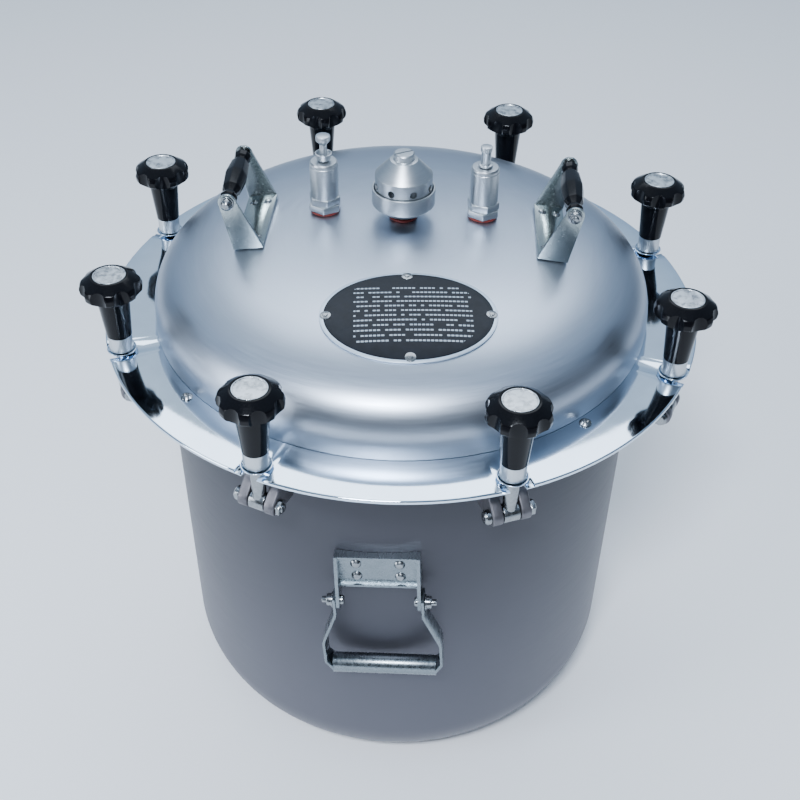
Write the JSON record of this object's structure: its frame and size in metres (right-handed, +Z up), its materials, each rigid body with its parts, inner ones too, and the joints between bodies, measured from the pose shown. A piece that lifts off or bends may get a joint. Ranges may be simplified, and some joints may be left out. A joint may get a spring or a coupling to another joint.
{
  "type": "resin pressure pot",
  "caption": "Deep drawn pressure pot with a domed lid held by swing bolts with star knobs, a weighted regulator, two safety valves, lid handles and folding side bails.",
  "frame": {"origin": "centre of the pot's base, on the surface it stands on", "axes": "+Z up along the pot's axis, -Y the front with the nameplate, +X to the right seen from the front"},
  "size_m": [0.548, 0.548, 0.5891],
  "materials": {
    "satin_aluminium": "satin brushed",
    "mirror_steel": "mirror polished",
    "bright_sheet_steel": "bright pressed sheet",
    "grey_cast_steel": "cast, lightly machined",
    "turned_aluminium": "fine turned",
    "zinc_plated_steel": "zinc plated",
    "black_bakelite": "glossy moulded",
    "red_silicone": "matt moulded",
    "black_rubber": "matt moulded",
    "slate_enamel": "printed aluminium plate"
  },
  "bodies": {
    "pot": {"pot_body": "satin_aluminium", "pot_rim": "grey_cast_steel", "lid_gasket": "black_rubber", "front_bail_bracket": "bright_sheet_steel", "back_bail_bracket": "bright_sheet_steel", "clamp_1_pin": "zinc_plated_steel", "clamp_2_pin": "zinc_plated_steel", "clamp_3_pin": "zinc_plated_steel", "clamp_4_pin": "zinc_plated_steel", "clamp_5_pin": "zinc_plated_steel", "clamp_6_pin": "zinc_plated_steel", "clamp_7_pin": "zinc_plated_steel", "clamp_8_pin": "zinc_plated_steel"},
    "lid": {"lid_dome": "satin_aluminium", "lid_flange": "mirror_steel", "nameplate": "slate_enamel", "regulator_seal": "red_silicone", "regulator_pipe": "black_bakelite", "left_valve_seal": "red_silicone", "left_valve_body": "turned_aluminium", "left_lid_handle_bracket": "bright_sheet_steel", "left_lid_handle_grip": "black_bakelite", "left_lid_handle_bolt": "zinc_plated_steel", "right_valve_seal": "red_silicone", "right_valve_body": "turned_aluminium", "right_lid_handle_bracket": "bright_sheet_steel", "right_lid_handle_grip": "black_bakelite", "right_lid_handle_bolt": "zinc_plated_steel"},
    "regulator_head": {"regulator_weight": "turned_aluminium", "regulator_cap": "turned_aluminium"},
    "left_valve_plunger": {"left_valve_stem": "turned_aluminium", "left_valve_spring": "zinc_plated_steel"},
    "right_valve_plunger": {"right_valve_stem": "turned_aluminium", "right_valve_spring": "zinc_plated_steel"},
    "front_bail": {"front_bail_handle": "bright_sheet_steel"},
    "back_bail": {"back_bail_handle": "bright_sheet_steel"},
    "clamp_1_swing_bolt": {"clamp_1_bolt": "zinc_plated_steel"},
    "clamp_1_seat": {"clamp_1_washer": "mirror_steel"},
    "clamp_1_star_knob": {"clamp_1_knob": "black_bakelite"},
    "clamp_2_swing_bolt": {"clamp_2_bolt": "zinc_plated_steel"},
    "clamp_2_seat": {"clamp_2_washer": "mirror_steel"},
    "clamp_2_star_knob": {"clamp_2_knob": "black_bakelite"},
    "clamp_3_swing_bolt": {"clamp_3_bolt": "zinc_plated_steel"},
    "clamp_3_seat": {"clamp_3_washer": "mirror_steel"},
    "clamp_3_star_knob": {"clamp_3_knob": "black_bakelite"},
    "clamp_4_swing_bolt": {"clamp_4_bolt": "zinc_plated_steel"},
    "clamp_4_seat": {"clamp_4_washer": "mirror_steel"},
    "clamp_4_star_knob": {"clamp_4_knob": "black_bakelite"},
    "clamp_5_swing_bolt": {"clamp_5_bolt": "zinc_plated_steel"},
    "clamp_5_seat": {"clamp_5_washer": "mirror_steel"},
    "clamp_5_star_knob": {"clamp_5_knob": "black_bakelite"},
    "clamp_6_swing_bolt": {"clamp_6_bolt": "zinc_plated_steel"},
    "clamp_6_seat": {"clamp_6_washer": "mirror_steel"},
    "clamp_6_star_knob": {"clamp_6_knob": "black_bakelite"},
    "clamp_7_swing_bolt": {"clamp_7_bolt": "zinc_plated_steel"},
    "clamp_7_seat": {"clamp_7_washer": "mirror_steel"},
    "clamp_7_star_knob": {"clamp_7_knob": "black_bakelite"},
    "clamp_8_swing_bolt": {"clamp_8_bolt": "zinc_plated_steel"},
    "clamp_8_seat": {"clamp_8_washer": "mirror_steel"},
    "clamp_8_star_knob": {"clamp_8_knob": "black_bakelite"}
  },
  "joints": [
    {"name": "clamp_1_swing", "type": "hinge", "parent": "pot", "child": "clamp_1_swing_bolt", "pos_m": [-0.10007, -0.24159, 0.399], "axis": [0.9239, -0.3827, 0], "range_deg": [0, 175]},
    {"name": "clamp_1_washer_slide", "type": "slide", "parent": "clamp_1_swing_bolt", "child": "clamp_1_seat", "axis": [0, 0, 1], "range_m": [0, 0.01751]},
    {"name": "clamp_1_knob_turn", "type": "hinge", "parent": "clamp_1_seat", "child": "clamp_1_star_knob", "pos_m": [-0.10007, -0.24159, 0.436], "axis": [0, 0, 1], "range_deg": [0, 3601]},
    {"name": "clamp_2_swing", "type": "hinge", "parent": "pot", "child": "clamp_2_swing_bolt", "pos_m": [0.10007, -0.24159, 0.399], "axis": [0.9239, 0.3827, 0], "range_deg": [0, 175]},
    {"name": "clamp_2_washer_slide", "type": "slide", "parent": "clamp_2_swing_bolt", "child": "clamp_2_seat", "axis": [0, 0, 1], "range_m": [0, 0.01751]},
    {"name": "clamp_2_knob_turn", "type": "hinge", "parent": "clamp_2_seat", "child": "clamp_2_star_knob", "pos_m": [0.10007, -0.24159, 0.436], "axis": [0, 0, 1], "range_deg": [0, 3601]},
    {"name": "clamp_3_swing", "type": "hinge", "parent": "pot", "child": "clamp_3_swing_bolt", "pos_m": [0.24159, -0.10007, 0.399], "axis": [0.3827, 0.9239, 0], "range_deg": [0, 175]},
    {"name": "clamp_3_washer_slide", "type": "slide", "parent": "clamp_3_swing_bolt", "child": "clamp_3_seat", "axis": [0, 0, 1], "range_m": [0, 0.01751]},
    {"name": "clamp_3_knob_turn", "type": "hinge", "parent": "clamp_3_seat", "child": "clamp_3_star_knob", "pos_m": [0.24159, -0.10007, 0.436], "axis": [0, 0, 1], "range_deg": [0, 3601]},
    {"name": "clamp_4_swing", "type": "hinge", "parent": "pot", "child": "clamp_4_swing_bolt", "pos_m": [0.24159, 0.10007, 0.399], "axis": [-0.3827, 0.9239, 0], "range_deg": [0, 175]},
    {"name": "clamp_4_washer_slide", "type": "slide", "parent": "clamp_4_swing_bolt", "child": "clamp_4_seat", "axis": [0, 0, 1], "range_m": [0, 0.01751]},
    {"name": "clamp_4_knob_turn", "type": "hinge", "parent": "clamp_4_seat", "child": "clamp_4_star_knob", "pos_m": [0.24159, 0.10007, 0.436], "axis": [0, 0, 1], "range_deg": [0, 3601]},
    {"name": "clamp_5_swing", "type": "hinge", "parent": "pot", "child": "clamp_5_swing_bolt", "pos_m": [0.10007, 0.24159, 0.399], "axis": [-0.9239, 0.3827, 0], "range_deg": [0, 175]},
    {"name": "clamp_5_washer_slide", "type": "slide", "parent": "clamp_5_swing_bolt", "child": "clamp_5_seat", "axis": [0, 0, 1], "range_m": [0, 0.01751]},
    {"name": "clamp_5_knob_turn", "type": "hinge", "parent": "clamp_5_seat", "child": "clamp_5_star_knob", "pos_m": [0.10007, 0.24159, 0.436], "axis": [0, 0, 1], "range_deg": [0, 3601]},
    {"name": "clamp_6_swing", "type": "hinge", "parent": "pot", "child": "clamp_6_swing_bolt", "pos_m": [-0.10007, 0.24159, 0.399], "axis": [-0.9239, -0.3827, 0], "range_deg": [0, 175]},
    {"name": "clamp_6_washer_slide", "type": "slide", "parent": "clamp_6_swing_bolt", "child": "clamp_6_seat", "axis": [0, 0, 1], "range_m": [0, 0.01751]},
    {"name": "clamp_6_knob_turn", "type": "hinge", "parent": "clamp_6_seat", "child": "clamp_6_star_knob", "pos_m": [-0.10007, 0.24159, 0.436], "axis": [0, 0, 1], "range_deg": [0, 3601]},
    {"name": "clamp_7_swing", "type": "hinge", "parent": "pot", "child": "clamp_7_swing_bolt", "pos_m": [-0.24159, 0.10007, 0.399], "axis": [-0.3827, -0.9239, 0], "range_deg": [0, 175]},
    {"name": "clamp_7_washer_slide", "type": "slide", "parent": "clamp_7_swing_bolt", "child": "clamp_7_seat", "axis": [0, 0, 1], "range_m": [0, 0.01751]},
    {"name": "clamp_7_knob_turn", "type": "hinge", "parent": "clamp_7_seat", "child": "clamp_7_star_knob", "pos_m": [-0.24159, 0.10007, 0.436], "axis": [0, 0, 1], "range_deg": [0, 3601]},
    {"name": "clamp_8_swing", "type": "hinge", "parent": "pot", "child": "clamp_8_swing_bolt", "pos_m": [-0.24159, -0.10007, 0.399], "axis": [0.3827, -0.9239, 0], "range_deg": [0, 175]},
    {"name": "clamp_8_washer_slide", "type": "slide", "parent": "clamp_8_swing_bolt", "child": "clamp_8_seat", "axis": [0, 0, 1], "range_m": [0, 0.01751]},
    {"name": "clamp_8_knob_turn", "type": "hinge", "parent": "clamp_8_seat", "child": "clamp_8_star_knob", "pos_m": [-0.24159, -0.10007, 0.436], "axis": [0, 0, 1], "range_deg": [0, 3601]},
    {"name": "lid_lift", "type": "slide", "parent": "pot", "child": "lid", "axis": [0, 0, 1], "range_m": [0, 0.0175]},
    {"name": "regulator_lift", "type": "slide", "parent": "lid", "child": "regulator_head", "axis": [0, 0, 1], "range_m": [0, 0.03]},
    {"name": "left_valve_lift", "type": "slide", "parent": "lid", "child": "left_valve_plunger", "axis": [0, 0, 1], "range_m": [0, 0.006], "stiffness_N_per_m": 600, "springref_m": -0.002},
    {"name": "right_valve_lift", "type": "slide", "parent": "lid", "child": "right_valve_plunger", "axis": [0, 0, 1], "range_m": [0, 0.006], "stiffness_N_per_m": 600, "springref_m": -0.002},
    {"name": "front_bail_swing", "type": "hinge", "parent": "pot", "child": "front_bail", "pos_m": [-0.00442, -0.23647, 0.27705], "axis": [-0.9978, 0.0261, -0.061], "range_deg": [0, 150]},
    {"name": "back_bail_swing", "type": "hinge", "parent": "pot", "child": "back_bail", "pos_m": [0.00619, 0.23642, 0.277], "axis": [0.9997, -0.0262, 0], "range_deg": [0, 150]}
  ],
  "couplings": [
    {"joint": "clamp_1_washer_slide", "follows": "lid_lift", "ratio": 1},
    {"joint": "clamp_1_knob_turn", "follows": "lid_lift", "rad_per_m": 3590.4},
    {"joint": "clamp_2_washer_slide", "follows": "lid_lift", "ratio": 1},
    {"joint": "clamp_2_knob_turn", "follows": "lid_lift", "rad_per_m": 3590.4},
    {"joint": "clamp_3_washer_slide", "follows": "lid_lift", "ratio": 1},
    {"joint": "clamp_3_knob_turn", "follows": "lid_lift", "rad_per_m": 3590.4},
    {"joint": "clamp_4_washer_slide", "follows": "lid_lift", "ratio": 1},
    {"joint": "clamp_4_knob_turn", "follows": "lid_lift", "rad_per_m": 3590.4},
    {"joint": "clamp_5_washer_slide", "follows": "lid_lift", "ratio": 1},
    {"joint": "clamp_5_knob_turn", "follows": "lid_lift", "rad_per_m": 3590.4},
    {"joint": "clamp_6_washer_slide", "follows": "lid_lift", "ratio": 1},
    {"joint": "clamp_6_knob_turn", "follows": "lid_lift", "rad_per_m": 3590.4},
    {"joint": "clamp_7_washer_slide", "follows": "lid_lift", "ratio": 1},
    {"joint": "clamp_7_knob_turn", "follows": "lid_lift", "rad_per_m": 3590.4},
    {"joint": "clamp_8_washer_slide", "follows": "lid_lift", "ratio": 1},
    {"joint": "clamp_8_knob_turn", "follows": "lid_lift", "rad_per_m": 3590.4}
  ]
}
